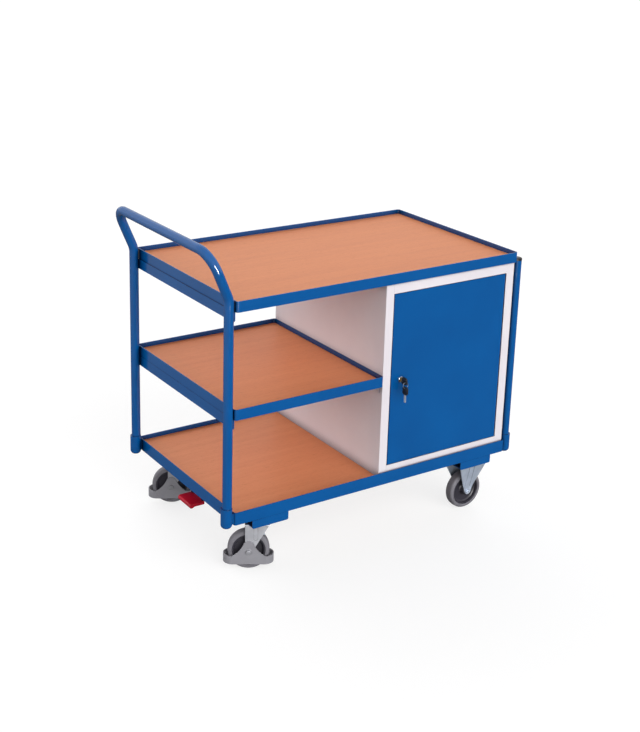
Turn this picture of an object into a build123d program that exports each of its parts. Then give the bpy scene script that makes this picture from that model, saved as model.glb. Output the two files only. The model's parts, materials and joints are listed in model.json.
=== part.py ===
"""Mobile workbench: steel trolley with a worktop, a half shelf, a cabinet and braked castors.

Millimetres, +Z up, +X from the push handle towards the cabinet end, the cabinet door faces -Y.
The origin is on the floor, under the middle of the overall length and width.
"""

import math
import os

from build123d import *

# Driving dimensions of the frame
deck_length = 1008
deck_width = 608
top_rim_z = 864
shelf_rim_z = 548.5
bottom_rim_z = 233
rail_height = 32
bottom_rail_height = 39.5
rim_lip = 14.5
board_thickness = 15
deck_sheet = 2.5
ledge_width = 25
board_play = 1
rim_corner_radius = 8

# Tube frame
tube_radius = 14
tube_wall = 2
left_post_gap = 2.5
right_post_gap = 1
left_post_inset = 15
right_post_inset = 18
handle_bend_z = 868
grip_z = 1003
grip_reach = 74.5
bend_radius = 60
right_post_top_z = 833
cap_height = 8
socket_radius = 17
socket_shift = 2
socket_foot_radius = 12
socket_bore = 14.1
socket_low_z = 186
socket_high_z = 247
post_foot_z = 192

# Cross rails between the posts
cross_sheet = 3
cross_flange = 30
top_cross_low_z = 802
shelf_cross_low_z = 485
end_bar_high_z = 852
shelf_overhang = 2
screw_rows = (-200, 0, 200)
screw_radius = 2.9
screw_hole_radius = 3
screw_head_radius = 5.5
screw_head_height = 3.5
screw_bite = 8

# Cabinet and door
cabinet_left = 4.5
cabinet_right = 496
cabinet_sheet = 1.5
cabinet_front_y = -298.5
cabinet_back_y = 301
opening_left = 33
opening_right = 466.5
opening_low_z = 252
opening_high_z = 800.5
jamb_depth = 22
inner_shelf_z = 540
inner_shelf_fold = 20
inner_shelf_front_y = -250
inner_shelf_sheet = 1.2
door_left = 35.5
door_right = 464
door_low_z = 254
door_high_z = 798.5
door_depth = 20
door_sheet = 1.2
door_return = 14
door_edge_radius = 3
hinge_inset_x = 6
hinge_inset_y = 7
hinge_pin_radius = 3
running_clearance = 0.05

# Lock and keys
lock_x = 71.5
lock_z = 526
lock_body_radius = 8
lock_flange_radius = 9
plug_radius = 5
cam_length = 45
cam_width = 16
cam_thickness = 2.5
key_blade_thickness = 1.5
key_blade_height = 8
key_neck_reach = 7
key_reach = 31
key_head_height = 22
key_head_thickness = 6
key_hole_radius = 3.6
key_hole_inset = 5.5
ring_radius = 9
ring_wire_radius = 1
spare_head_length = 25
spare_blade_length = 25

# Castors
wheel_radius = 62.5
wheel_width = 32
rim_radius = 49.5
hub_radius = 17
hub_half_width = 21.5
axle_radius = 6
castor_height = 167.5
castor_y = 243
swivel_x = -380
fixed_x = 395
swivel_trail = 34
swivel_turn = -30
plate_thickness = 3.5
plate_length = 105
plate_width = 85
fixed_plate_width = 100
bolt_spacing_x = 80
bolt_spacing_y = 60
bolt_radius = 4
fork_inner = 22
fork_sheet = 3
leg_splay = 20.5
crown_low_z = 146
crown_high_z = 150
boss_radius = 27
boss_high_z = 156
kingpin_radius = 10
kingpin_low_z = 142.2
kingpin_high_z = 172.5
guard_low_z = 22
guard_high_z = 48
guard_length = 150
guard_wall = 3
channel_width = 122
swivel_channel_x = -383
fixed_channel_x = 387.5
channel_sheet = 3
channel_wall_y = 180

# Brake
plunger_radius = 4
plunger_high_z = 180.5
shoe_gap = 3.1
shaft_offset = 32
shaft_radius = 6
shaft_z = 184.5
shaft_half_length = 262
lever_gap = 0.3
bracket_y = 120
arm_y = 32
arm_thickness = 8
pedal_half_width = 39
pedal_front = -503.5
pedal_rear = -453.5
pedal_top_z = 142
pedal_thickness = 12
pedal_lip = 14

# Places worked out from the driving dimensions
left_end = -deck_length / 2
right_end = deck_length / 2
half_width = deck_width / 2
left_post_x = left_end - left_post_gap - tube_radius
right_post_x = right_end + right_post_gap + tube_radius
left_post_y = half_width - left_post_inset
right_post_y = half_width - right_post_inset
shelf_left = left_end - shelf_overhang
jamb_rear_y = cabinet_front_y + jamb_depth
hinge_x = door_right - hinge_inset_x
hinge_y = cabinet_front_y + hinge_inset_y
lock_rear_y = jamb_rear_y
key_neck_y = cabinet_front_y - key_neck_reach
key_end_y = cabinet_front_y - key_reach
ring_z = lock_z - key_hole_radius + 1.8 - ring_radius
spare_hole_z = ring_z - ring_radius - key_hole_radius + ring_wire_radius + 0.8
spare_head_low_z = spare_hole_z + key_hole_inset - spare_head_length
fork_outer = fork_inner + fork_sheet
guard_outer = fork_outer + guard_wall
plate_low_z = castor_height - plate_thickness
channel_floor_z = castor_height + channel_sheet
rail_low_z = bottom_rim_z - bottom_rail_height
shaft_x = swivel_x + shaft_offset
board_drop = rim_lip + board_thickness + deck_sheet
floor_board_z = bottom_rim_z - rim_lip
cabinet_high_z = top_rim_z - rail_height
left_screw_x = left_end + 14
shelf_screw_x = cabinet_left - 14
end_screw_z = top_rim_z - rim_lip - board_thickness / 2
nut_height = 6.5
bolt_head_height = 5.3
hex_radius = 7.5

# The pieces are built around the middle of the deck and saved around the middle of the overall box
handle_overhang = grip_reach + tube_radius
socket_overhang = right_post_gap + tube_radius + socket_shift + socket_radius
key_overhang = -(key_end_y + key_hole_inset - key_head_height / 2)
turn = math.radians(swivel_turn)
guard_straight = guard_length / 2 - guard_outer
guard_overhang = castor_y + guard_outer - (swivel_trail + guard_straight) * math.sin(turn)
centring = Location(((handle_overhang - socket_overhang) / 2, (key_overhang - guard_overhang) / 2, 0))

os.makedirs("parts", exist_ok=True)


def save(piece, name, place=Location()):
    """Name the finished piece, put it in its place and write its STEP file."""
    placed = piece.part.moved(centring * place)
    placed.label = name
    export_step(placed, f"parts/{name}.step")


def save_copies(piece, name, places):
    """Write one copy of the piece at each place, all in one STEP file."""
    with BuildPart() as copies:
        for place in places:
            add(piece.part.moved(place))
    save(copies, name)


def block(x, y, z, mode=Mode.ADD):
    """A box from its low and high limits along each axis."""
    with Locations(((x[0] + x[1]) / 2, (y[0] + y[1]) / 2, (z[0] + z[1]) / 2)):
        Box(x[1] - x[0], y[1] - y[0], z[1] - z[0], mode=mode)


def upright(x, y, z, radius, mode=Mode.ADD):
    """A vertical cylinder at (x, y) between two heights."""
    with Locations((x, y, (z[0] + z[1]) / 2)):
        Cylinder(radius, z[1] - z[0], mode=mode)


def crosswise(x, y, z, radius, mode=Mode.ADD):
    """A cylinder along Y, between two Y limits."""
    with Locations((x, (y[0] + y[1]) / 2, z)):
        Cylinder(radius, y[1] - y[0], rotation=(90, 0, 0), mode=mode)


def lengthwise(x, y, z, radius, mode=Mode.ADD):
    """A cylinder along X, between two X limits."""
    with Locations(((x[0] + x[1]) / 2, y, z)):
        Cylinder(radius, x[1] - x[0], rotation=(0, 90, 0), mode=mode)


# Tube frame


def make_push_handle():
    """Both handle-end legs and the leaning cross grip, bent from one tube."""
    with BuildPart() as handle:
        with BuildLine():
            FilletPolyline(
                (left_post_x, -left_post_y, post_foot_z),
                (left_post_x, -left_post_y, handle_bend_z),
                (left_end - grip_reach, -left_post_y, grip_z),
                (left_end - grip_reach, left_post_y, grip_z),
                (left_post_x, left_post_y, handle_bend_z),
                (left_post_x, left_post_y, post_foot_z),
                radius=bend_radius,
            )
        with BuildSketch(Plane((left_post_x, -left_post_y, post_foot_z))):
            Circle(tube_radius)
            Circle(tube_radius - tube_wall, mode=Mode.SUBTRACT)
        sweep()
    return handle


def make_right_posts():
    """The two straight posts at the cabinet end."""
    with BuildPart() as posts:
        with BuildSketch(Plane.XY.offset(post_foot_z)):
            with Locations((right_post_x, -right_post_y), (right_post_x, right_post_y)):
                Circle(tube_radius)
                Circle(tube_radius - tube_wall, mode=Mode.SUBTRACT)
        extrude(amount=right_post_top_z - post_foot_z)
    return posts


def make_post_caps():
    """Plastic caps that plug the open ends of the right posts."""
    plug_depth = 14
    plug_play = 0.1
    with BuildPart() as caps:
        for y in (-right_post_y, right_post_y):
            top = right_post_top_z + cap_height
            upright(right_post_x, y, (right_post_top_z, top), tube_radius + 0.5)
        rims = caps.edges().filter_by(GeomType.CIRCLE).group_by(Axis.Z)[-1]
        fillet(rims, cap_height / 2)
        for y in (-right_post_y, right_post_y):
            inside = tube_radius - tube_wall - plug_play
            upright(right_post_x, y, (right_post_top_z - plug_depth, right_post_top_z), inside)
    return caps


def make_post_sockets():
    """Four sockets with rounded feet, flat against the bottom deck's end rails, each with a gusset."""
    bore_low_z = post_foot_z - 1
    gusset_z = (rail_low_z + 4, bottom_rim_z - 3)
    gusset_outside = 10
    gusset_inside = 6
    corners = []
    left_corner = (left_post_x, -socket_shift, left_end, left_post_y)
    right_corner = (right_post_x, socket_shift, right_end, right_post_y)
    for x, outwards, inner_x, post_y in (left_corner, right_corner):
        near_gusset = (-post_y - gusset_outside, -post_y + gusset_inside)
        far_gusset = (post_y - gusset_inside, post_y + gusset_outside)
        corners.append((x, outwards, inner_x, -post_y, near_gusset))
        corners.append((x, outwards, inner_x, post_y, far_gusset))
    with BuildPart() as sockets:
        for x, outwards, inner_x, y, gusset_y in corners:
            upright(x + outwards, y, (socket_low_z, socket_high_z), socket_radius)
        feet = sockets.edges().filter_by(GeomType.CIRCLE).group_by(Axis.Z)[0]
        fillet(feet, socket_foot_radius)
        for x, outwards, inner_x, y, gusset_y in corners:
            block(sorted((x, inner_x)), gusset_y, gusset_z)
        for x, outwards, inner_x, y, gusset_y in corners:
            upright(x, y, (bore_low_z, socket_high_z), socket_bore, Mode.SUBTRACT)
        block((left_end, right_end), (-deck_width, deck_width), (socket_low_z, socket_high_z), Mode.SUBTRACT)
    return sockets


# Decks and shelf


def make_deck_frame(x, rim_z, height, screw_columns, end_drilled=False):
    """A steel rim with an inner ledge for the board, and holes for the screws in the ledge and end."""
    middle = (x[0] + x[1]) / 2
    length = x[1] - x[0]
    ledge_z = rim_z - board_drop
    inner_corner = rim_corner_radius - deck_sheet
    with BuildPart() as frame:
        with BuildSketch(Plane.XY.offset(rim_z - height)):
            with Locations((middle, 0)):
                RectangleRounded(length, deck_width, rim_corner_radius)
                inner_length = length - 2 * deck_sheet
                inner_width = deck_width - 2 * deck_sheet
                RectangleRounded(inner_length, inner_width, inner_corner, mode=Mode.SUBTRACT)
        extrude(amount=height)
        with BuildSketch(Plane.XY.offset(ledge_z)):
            with Locations((middle, 0)):
                RectangleRounded(length - deck_sheet, deck_width - deck_sheet, inner_corner)
                open_length = length - 2 * ledge_width
                open_width = deck_width - 2 * ledge_width
                Rectangle(open_length, open_width, mode=Mode.SUBTRACT)
        extrude(amount=deck_sheet)
        for column in screw_columns:
            for y in screw_rows:
                upright(column, y, (ledge_z, ledge_z + deck_sheet), screw_hole_radius, Mode.SUBTRACT)
        if end_drilled:
            for y in screw_rows:
                lengthwise((x[1] - deck_sheet, x[1]), y, end_screw_z, screw_hole_radius, Mode.SUBTRACT)
    return frame


def make_board(x, rim_z, screw_columns, end_drilled=False):
    """A board that lies on the ledge of its frame, with blind screw holes from below and in its end."""
    middle = (x[0] + x[1]) / 2
    margin = 2 * (deck_sheet + board_play)
    corner = rim_corner_radius - deck_sheet
    low_z = rim_z - rim_lip - board_thickness
    with BuildPart() as board:
        with BuildSketch(Plane.XY.offset(low_z)):
            with Locations((middle, 0)):
                RectangleRounded(x[1] - x[0] - margin, deck_width - margin, corner)
        extrude(amount=board_thickness)
        for column in screw_columns:
            for y in screw_rows:
                upright(column, y, (low_z, low_z + screw_bite + 1), screw_hole_radius, Mode.SUBTRACT)
        if end_drilled:
            for y in screw_rows:
                hole_x = (x[1] - deck_sheet - screw_bite - 2, x[1])
                lengthwise(hole_x, y, end_screw_z, screw_hole_radius, Mode.SUBTRACT)
    return board


def make_cross_rail(low_z, high_z):
    """An angle between the handle legs: a web under the deck's end rail and a flange under its ledge."""
    end_y = left_post_y + tube_radius / 2
    web_x = (left_end - cross_sheet, left_end)
    with BuildPart() as rail:
        block(web_x, (-end_y, end_y), (low_z, high_z))
        lower_corners = rail.edges().filter_by(Axis.X).group_by(Axis.Z)[0]
        chamfer(lower_corners, 6)
        flange_x = (web_x[0], web_x[0] + cross_flange)
        block(flange_x, (-left_post_y, left_post_y), (high_z - cross_sheet, high_z))
        for y in (-left_post_y, left_post_y):
            upright(left_post_x, y, (low_z, high_z), tube_radius, Mode.SUBTRACT)
        for y in screw_rows:
            upright(left_screw_x, y, (high_z - cross_sheet, high_z), screw_hole_radius, Mode.SUBTRACT)
    return rail


def make_end_bar():
    """A flat bar that ends against the right posts, screwed to the end rail of the top deck."""
    end_y = right_post_y - tube_radius / 2
    bar_x = (right_end, right_end + cross_sheet)
    cap_play = 1
    with BuildPart() as bar:
        block(bar_x, (-end_y, end_y), (top_cross_low_z, end_bar_high_z))
        for y in (-right_post_y, right_post_y):
            upright(right_post_x, y, (top_cross_low_z, right_post_top_z), tube_radius, Mode.SUBTRACT)
            above = (right_post_top_z, end_bar_high_z)
            upright(right_post_x, y, above, tube_radius + cap_play, Mode.SUBTRACT)
        for y in screw_rows:
            lengthwise(bar_x, y, end_screw_z, screw_hole_radius, Mode.SUBTRACT)
    return bar


def make_shelf_support():
    """An angle on the cabinet's side wall that carries the right end of the shelf."""
    high_z = shelf_rim_z - rail_height
    along = (-285, 285)
    leg = 25
    with BuildPart() as support:
        block((cabinet_left - deck_sheet, cabinet_left), along, (high_z - leg, high_z))
        flange_z = (high_z - deck_sheet, high_z)
        block((cabinet_left - leg, cabinet_left), along, flange_z)
        for y in screw_rows:
            upright(shelf_screw_x, y, flange_z, screw_hole_radius, Mode.SUBTRACT)
    return support


def make_deck_screws():
    """Screws that hold the decks to the cross rails, the support angle and the end bar."""
    upper = (top_rim_z - rail_height, cross_sheet, left_screw_x)
    middle = (shelf_rim_z - rail_height, cross_sheet, left_screw_x)
    inner = (shelf_rim_z - rail_height, deck_sheet, shelf_screw_x)
    with BuildPart() as screws:
        for high_z, flange, x in (upper, middle, inner):
            seat_z = high_z - flange
            tip_z = high_z + deck_sheet + screw_bite
            for y in screw_rows:
                upright(x, y, (seat_z - screw_head_height, seat_z), screw_head_radius)
                upright(x, y, (seat_z, tip_z), screw_radius)
        outside = right_end + cross_sheet
        for y in screw_rows:
            lengthwise((outside, outside + screw_head_height), y, end_screw_z, screw_head_radius)
            lengthwise((right_end - deck_sheet - screw_bite, outside), y, end_screw_z, screw_radius)
    return screws


# Cabinet


def make_cabinet_side(outer_x, inward, jamb_x):
    """A folded side: the wall, the front flange beside the door and the jamb behind it."""
    wall = sorted((outer_x, outer_x + inward * cabinet_sheet))
    flange = sorted((outer_x, jamb_x))
    jamb = sorted((jamb_x, jamb_x - inward * cabinet_sheet))
    height = (floor_board_z, cabinet_high_z)
    with BuildPart() as side:
        block(wall, (cabinet_front_y, cabinet_back_y), height)
        block(flange, (cabinet_front_y, cabinet_front_y + cabinet_sheet), height)
        block(jamb, (cabinet_front_y, jamb_rear_y), (opening_low_z, opening_high_z))
    return side


def make_cabinet_top():
    """The top panel, with the flange above the door, its lip and the hole for the upper hinge pin."""
    inside_x = (cabinet_left + cabinet_sheet, cabinet_right - cabinet_sheet)
    inside_y = (cabinet_front_y + cabinet_sheet, cabinet_back_y - cabinet_sheet)
    lip_z = (opening_high_z, opening_high_z + cabinet_sheet)
    door_x = (opening_left, opening_right)
    with BuildPart() as top:
        block(inside_x, inside_y, (cabinet_high_z - cabinet_sheet, cabinet_high_z))
        flange_y = (cabinet_front_y, cabinet_front_y + cabinet_sheet)
        block(door_x, flange_y, (opening_high_z, cabinet_high_z))
        block(door_x, (cabinet_front_y, jamb_rear_y), lip_z)
        upright(hinge_x, hinge_y, lip_z, hinge_pin_radius, Mode.SUBTRACT)
    return top


def make_cabinet_floor():
    """The floor panel, level with the door's sill, and the flange in front of it."""
    inside_x = (cabinet_left + cabinet_sheet, cabinet_right - cabinet_sheet)
    inside_y = (cabinet_front_y + cabinet_sheet, cabinet_back_y - cabinet_sheet)
    panel_z = (opening_low_z - cabinet_sheet, opening_low_z)
    with BuildPart() as floor:
        block(inside_x, inside_y, panel_z)
        flange_y = (cabinet_front_y, cabinet_front_y + cabinet_sheet)
        block((opening_left, opening_right), flange_y, (floor_board_z, opening_low_z))
        upright(hinge_x, hinge_y, panel_z, hinge_pin_radius, Mode.SUBTRACT)
    return floor


def make_cabinet_back():
    """The back panel between the two sides."""
    inside_x = (cabinet_left + cabinet_sheet, cabinet_right - cabinet_sheet)
    panel_y = (cabinet_back_y - cabinet_sheet, cabinet_back_y)
    with BuildPart() as back:
        block(inside_x, panel_y, (floor_board_z, cabinet_high_z))
    return back


def make_cabinet_shelf():
    """The inner shelf: a sheet folded down on all four sides."""
    side_play = 1.5
    x = (cabinet_left + cabinet_sheet + side_play, cabinet_right - cabinet_sheet - side_play)
    y = (inner_shelf_front_y, cabinet_back_y - cabinet_sheet - side_play)
    fold_z = inner_shelf_z - inner_shelf_fold
    with BuildPart() as shelf:
        block(x, y, (fold_z, inner_shelf_z))
        inside_x = (x[0] + inner_shelf_sheet, x[1] - inner_shelf_sheet)
        inside_y = (y[0] + inner_shelf_sheet, y[1] - inner_shelf_sheet)
        block(inside_x, inside_y, (fold_z, inner_shelf_z - inner_shelf_sheet), Mode.SUBTRACT)
    return shelf


def make_shelf_clips():
    """Four clips on the side walls, which the inner shelf rests on."""
    reach = 10
    width = 12
    high_z = inner_shelf_z - inner_shelf_fold
    with BuildPart() as clips:
        for y in (inner_shelf_front_y + 60, cabinet_back_y - 80):
            inner_left = cabinet_left + cabinet_sheet
            inner_right = cabinet_right - cabinet_sheet
            block((inner_left, inner_left + reach), (y, y + width), (high_z - 4, high_z))
            block((inner_right - reach, inner_right), (y, y + width), (high_z - 4, high_z))
    return clips


def make_hinge_pins():
    """The upper and lower pins that the door turns on, each with a head behind the frame."""
    bite = 27
    head_radius = 5
    head_height = 3
    upper_seat = opening_high_z + cabinet_sheet
    lower_seat = opening_low_z - cabinet_sheet
    with BuildPart() as pins:
        upright(hinge_x, hinge_y, (door_high_z - bite, upper_seat), hinge_pin_radius)
        upright(hinge_x, hinge_y, (upper_seat, upper_seat + head_height), head_radius)
        upright(hinge_x, hinge_y, (lower_seat, door_low_z + bite), hinge_pin_radius)
        upright(hinge_x, hinge_y, (lower_seat - head_height, lower_seat), head_radius)
    return pins


# Door, lock and keys


def make_door_panel():
    """The door: a sheet-steel pan with rounded front edges and returned flanges."""
    x = (door_left, door_right)
    y = (cabinet_front_y, cabinet_front_y + door_depth)
    z = (door_low_z, door_high_z)
    skin_y = y[0] + door_sheet
    with BuildPart() as panel:
        block(x, y, z)
        front_edges = panel.edges().filter_by(Axis.Z).group_by(Axis.Y)[0]
        fillet(front_edges, door_edge_radius)
        pan_x = (x[0] + door_sheet, x[1] - door_sheet)
        pan_z = (z[0] + door_sheet, z[1] - door_sheet)
        block(pan_x, (skin_y, y[1] - door_sheet), pan_z, Mode.SUBTRACT)
        open_x = (x[0] + door_return, x[1] - door_return)
        open_z = (z[0] + door_return, z[1] - door_return)
        block(open_x, (skin_y, y[1]), open_z, Mode.SUBTRACT)
        crosswise(lock_x, (y[0], skin_y), lock_z, lock_body_radius, Mode.SUBTRACT)
        pin_hole = hinge_pin_radius + running_clearance
        upright(hinge_x, hinge_y, (z[0], z[0] + door_sheet), pin_hole, Mode.SUBTRACT)
        upright(hinge_x, hinge_y, (z[1] - door_sheet, z[1]), pin_hole, Mode.SUBTRACT)
    return panel


def make_hinge_sleeves():
    """Sleeves inside the door's corners, which run on the hinge pins."""
    length = 28
    radius = 4.6
    low = door_low_z + door_sheet
    high = door_high_z - door_sheet
    with BuildPart() as sleeves:
        for z in ((low, low + length), (high - length, high)):
            upright(hinge_x, hinge_y, z, radius)
            upright(hinge_x, hinge_y, z, hinge_pin_radius + running_clearance, Mode.SUBTRACT)
    return sleeves


def make_lock_housing():
    """The lock's body with its front flange, the clamping nut behind the door skin and the plug bore."""
    skin_y = cabinet_front_y + door_sheet
    flange_y = (cabinet_front_y - 3, cabinet_front_y)
    with BuildPart() as housing:
        crosswise(lock_x, flange_y, lock_z, lock_flange_radius)
        rim = housing.edges().filter_by(GeomType.CIRCLE).group_by(Axis.Y)[0]
        fillet(rim, 1)
        crosswise(lock_x, (cabinet_front_y, lock_rear_y), lock_z, lock_body_radius)
        with BuildSketch(Plane.XZ.offset(-skin_y)):
            with Locations((lock_x, lock_z)):
                RegularPolygon(12, 6)
        extrude(amount=-5)
        bore = plug_radius + running_clearance
        crosswise(lock_x, (flange_y[0], lock_rear_y), lock_z, bore, Mode.SUBTRACT)
    return housing


def make_lock_plug():
    """The turning plug: a keyway in front, and a screw head behind that holds the cam."""
    front_y = cabinet_front_y - 3.3
    cam_rear_y = lock_rear_y + 0.5 + cam_thickness
    keyway_play = 0.1
    with BuildPart() as plug:
        crosswise(lock_x, (front_y, cam_rear_y), lock_z, plug_radius)
        crosswise(lock_x, (cam_rear_y, cam_rear_y + 3), lock_z, plug_radius + 1.5)
        slot_x = key_blade_thickness / 2 + keyway_play
        slot_z = key_blade_height / 2 + keyway_play
        slot = ((lock_x - slot_x, lock_x + slot_x), (lock_z - slot_z, lock_z + slot_z))
        block(slot[0], (front_y, cabinet_front_y + 16), slot[1], Mode.SUBTRACT)
    return plug


def make_lock_cam():
    """The cam behind the lock, pointing down; a quarter turn puts it behind the left jamb."""
    cam_y = lock_rear_y + 0.5
    with BuildPart() as cam:
        with BuildSketch(Plane.XZ.offset(-cam_y)):
            with Locations((lock_x, lock_z + (cam_width / 2 - cam_length) / 2)):
                SlotOverall(cam_length + cam_width / 2, cam_width, rotation=90)
            with Locations((lock_x, lock_z)):
                Circle(plug_radius, mode=Mode.SUBTRACT)
        extrude(amount=-cam_thickness)
    return cam


def make_key():
    """The blade of the key in the lock, from its plastic head into the plug."""
    half = key_blade_thickness / 2
    with BuildPart() as key:
        blade_z = (lock_z - key_blade_height / 2, lock_z + key_blade_height / 2)
        block((lock_x - half, lock_x + half), (key_neck_y, cabinet_front_y + 15), blade_z)
    return key


def make_key_head():
    """The moulded head of the key in the lock, upright, with a hole at its outer end."""
    middle_y = (key_neck_y + key_end_y) / 2
    hole_y = key_end_y + key_hole_inset
    with BuildPart() as head:
        with BuildSketch(Plane.YZ.offset(lock_x - key_head_thickness / 2)):
            with Locations((middle_y, lock_z)):
                RectangleRounded(key_neck_y - key_end_y, key_head_height, 7)
            with Locations((hole_y, lock_z)):
                Circle(key_hole_radius, mode=Mode.SUBTRACT)
        extrude(amount=key_head_thickness)
        rims = head.edges().filter_by(Plane.YZ)
        chamfer(rims, 0.6)
    return head


def make_key_ring():
    """The wire ring that hangs in the hole of the key's head."""
    with BuildPart() as ring:
        with Locations((lock_x, key_end_y + key_hole_inset, ring_z)):
            Torus(ring_radius, ring_wire_radius, rotation=(90, 0, 0))
    return ring


def make_spare_key_head():
    """The moulded head of the spare key, hanging from the bottom of the ring."""
    y = key_end_y + key_hole_inset
    high_z = spare_head_low_z + spare_head_length
    with BuildPart() as head:
        with BuildSketch(Plane.YZ.offset(lock_x - key_head_thickness / 2)):
            with Locations((y, (spare_head_low_z + high_z) / 2)):
                RectangleRounded(key_head_height, high_z - spare_head_low_z, 7)
            with Locations((y, spare_hole_z)):
                Circle(key_hole_radius, mode=Mode.SUBTRACT)
        extrude(amount=key_head_thickness)
        rims = head.edges().filter_by(Plane.YZ)
        chamfer(rims, 0.6)
    return head


def make_spare_key():
    """The blade of the spare key."""
    y = key_end_y + key_hole_inset
    half = key_blade_thickness / 2
    with BuildPart() as key:
        blade_y = (y - key_blade_height / 2, y + key_blade_height / 2)
        low_z = spare_head_low_z - spare_blade_length
        block((lock_x - half, lock_x + half), blade_y, (low_z, spare_head_low_z))
        tip = key.edges().filter_by(Axis.X).group_by(Axis.Z)[0]
        chamfer(tip, 2)
    return key


# Castor channels


def make_castor_channel(x, castor_x, braked):
    """A cross channel with closed ends and open sides at the castors; one lets the pedal arms out."""
    half = channel_width / 2
    outer_x = (x - half, x + half)
    inner_x = (outer_x[0] + channel_sheet, outer_x[1] - channel_sheet)
    inside_rim = half_width - deck_sheet
    high_z = bottom_rim_z - board_drop
    with BuildPart() as channel:
        block(outer_x, (-half_width, half_width), (castor_height, rail_low_z))
        lower_edges = channel.edges().filter_by(Axis.Y).group_by(Axis.Z)[0]
        fillet(lower_edges, 5)
        block(outer_x, (-inside_rim, inside_rim), (rail_low_z, high_z))
        inner_y = half_width - channel_sheet
        block(inner_x, (-inner_y, inner_y), (channel_floor_z, high_z), Mode.SUBTRACT)
        for side_y in ((-inner_y, -channel_wall_y), (channel_wall_y, inner_y)):
            block(outer_x, side_y, (channel_floor_z + 2, high_z), Mode.SUBTRACT)
        for y in (-castor_y, castor_y):
            for bolt_x, bolt_y in bolt_places(castor_x, y):
                web_z = (castor_height, channel_floor_z)
                upright(bolt_x, bolt_y, web_z, bolt_radius + 0.5, Mode.SUBTRACT)
            if braked:
                upright(castor_x, y, (castor_height, channel_floor_z), kingpin_radius + 4, Mode.SUBTRACT)
        if braked:
            for y in (-arm_y, arm_y):
                slot_y = (y - arm_thickness / 2 - 2, y + arm_thickness / 2 + 2)
                slot_z = (channel_floor_z, shaft_z + 8)
                block((outer_x[0], inner_x[0]), slot_y, slot_z, Mode.SUBTRACT)
    return channel


def bolt_places(x, y):
    """The four bolt centres of a castor plate."""
    places = []
    for side_x in (-1, 1):
        for side_y in (-1, 1):
            places.append((x + side_x * bolt_spacing_x / 2, y + side_y * bolt_spacing_y / 2))
    return places


def make_castor_bolts():
    """Bolts with nuts that hold the four castor plates to the channels."""
    head_z = plate_low_z - bolt_head_height
    nut_z = channel_floor_z + nut_height
    centres = []
    for x in (swivel_x, fixed_x):
        for y in (-castor_y, castor_y):
            centres += bolt_places(x, y)
    with BuildPart() as bolts:
        with BuildSketch(Plane.XY.offset(head_z)):
            with Locations(centres):
                RegularPolygon(hex_radius, 6)
        extrude(amount=bolt_head_height)
        with BuildSketch(Plane.XY.offset(plate_low_z)):
            with Locations(centres):
                Circle(bolt_radius)
        extrude(amount=channel_floor_z - plate_low_z)
        with BuildSketch(Plane.XY.offset(channel_floor_z)):
            with Locations(centres):
                RegularPolygon(hex_radius, 6)
        extrude(amount=nut_z - channel_floor_z)
    return bolts


# Wheels, built around an axle along Y through the origin


def make_tyre():
    """A solid tyre with rounded shoulders."""
    with BuildPart() as tyre:
        with BuildSketch() as section:
            with Locations(((rim_radius + wheel_radius) / 2, 0)):
                Rectangle(wheel_radius - rim_radius, wheel_width)
            shoulders = section.vertices().group_by(Axis.X)[-1]
            fillet(shoulders, 7)
        revolve(axis=Axis.Y)
    return tyre


def make_rim():
    """A moulded rim: hub, web and outer band, bored for the axle."""
    web_half_width = 4
    band_half_width = 14
    band_radius = 44
    bore = axle_radius + running_clearance
    with BuildPart() as rim:
        with BuildSketch():
            with Locations(((bore + hub_radius) / 2, 0)):
                Rectangle(hub_radius - bore, 2 * hub_half_width)
            with Locations(((hub_radius + band_radius) / 2, 0)):
                Rectangle(band_radius - hub_radius, 2 * web_half_width)
            with Locations(((band_radius + rim_radius) / 2, 0)):
                Rectangle(rim_radius - band_radius, 2 * band_half_width)
        revolve(axis=Axis.Y)
    return rim


def make_axle(half_length):
    """An axle bolt with a hexagonal head at each end."""
    head_height = 5
    with BuildPart() as axle:
        crosswise(0, (-half_length, half_length), 0, axle_radius)
        with BuildSketch(Plane.XZ.offset(half_length)):
            RegularPolygon(9, 6)
        extrude(amount=head_height)
        with BuildSketch(Plane.XZ.offset(-half_length)):
            RegularPolygon(9, 6)
        extrude(amount=-head_height)
    return axle


# Swivel castor, built around its swivel axis with the wheel behind it towards -X


def make_swivel_plate():
    """The top plate with the upper bearing cup pressed into it."""
    cup_radius = 32
    cup_low_z = boss_high_z + 0.3
    with BuildPart() as plate:
        upright(0, 0, (cup_low_z, plate_low_z), cup_radius)
        rim = plate.edges().filter_by(GeomType.CIRCLE).group_by(Axis.Z)[0]
        fillet(rim, 5)
        with BuildSketch(Plane.XY.offset(plate_low_z)):
            RectangleRounded(plate_length, plate_width, 8)
            with Locations(bolt_places(0, 0)):
                Circle(bolt_radius + 0.5, mode=Mode.SUBTRACT)
        extrude(amount=plate_thickness)
        upright(0, 0, (cup_low_z, castor_height), kingpin_radius, Mode.SUBTRACT)
    return plate


def make_kingpin():
    """A hollow kingpin, riveted into the plate, with a collar under the fork."""
    collar_radius = 16
    collar_high_z = crown_low_z - 0.3
    with BuildPart() as kingpin:
        upright(0, 0, (kingpin_low_z, kingpin_high_z), kingpin_radius)
        upright(0, 0, (kingpin_low_z, collar_high_z), collar_radius)
        bore = plunger_radius + running_clearance
        upright(0, 0, (kingpin_low_z, kingpin_high_z), bore, Mode.SUBTRACT)
    return kingpin


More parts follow.
